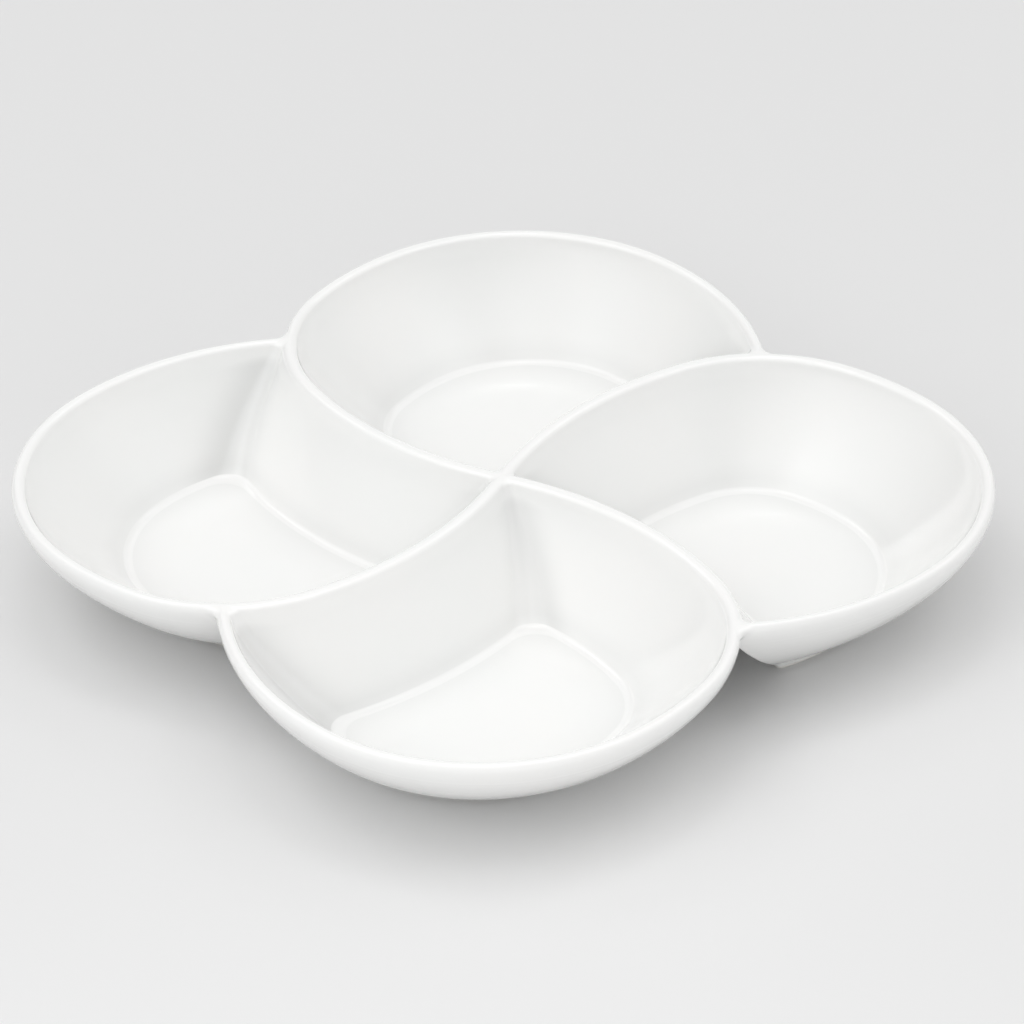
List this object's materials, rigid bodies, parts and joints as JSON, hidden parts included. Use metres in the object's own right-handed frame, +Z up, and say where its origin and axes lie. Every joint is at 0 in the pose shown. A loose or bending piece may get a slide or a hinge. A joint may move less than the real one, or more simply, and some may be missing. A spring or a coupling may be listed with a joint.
{
  "type": "divided serving bowl",
  "caption": "Low glazed porcelain serving bowl whose comma-shaped basins swirl round a common centre, with curved dividers and ring feet.",
  "frame": {"origin": "on the axis of the swirl, at the table plane under the foot rings", "axes": "+Z up out of the basins; -Y toward the front basin; +X to the right, as the picture shows the bowl"},
  "size_m": [0.3, 0.3, 0.0372],
  "materials": {
    "glazed_porcelain": "glossy clear glaze over white porcelain",
    "bare_foot": "matt unglazed porcelain, ground flat"
  },
  "bodies": {
    "root": {"basin_front": "glazed_porcelain", "basin_left": "glazed_porcelain", "basin_back": "glazed_porcelain", "basin_right": "glazed_porcelain", "foot_front": "bare_foot", "foot_left": "bare_foot", "foot_back": "bare_foot", "foot_right": "bare_foot"}
  },
  "joints": []
}
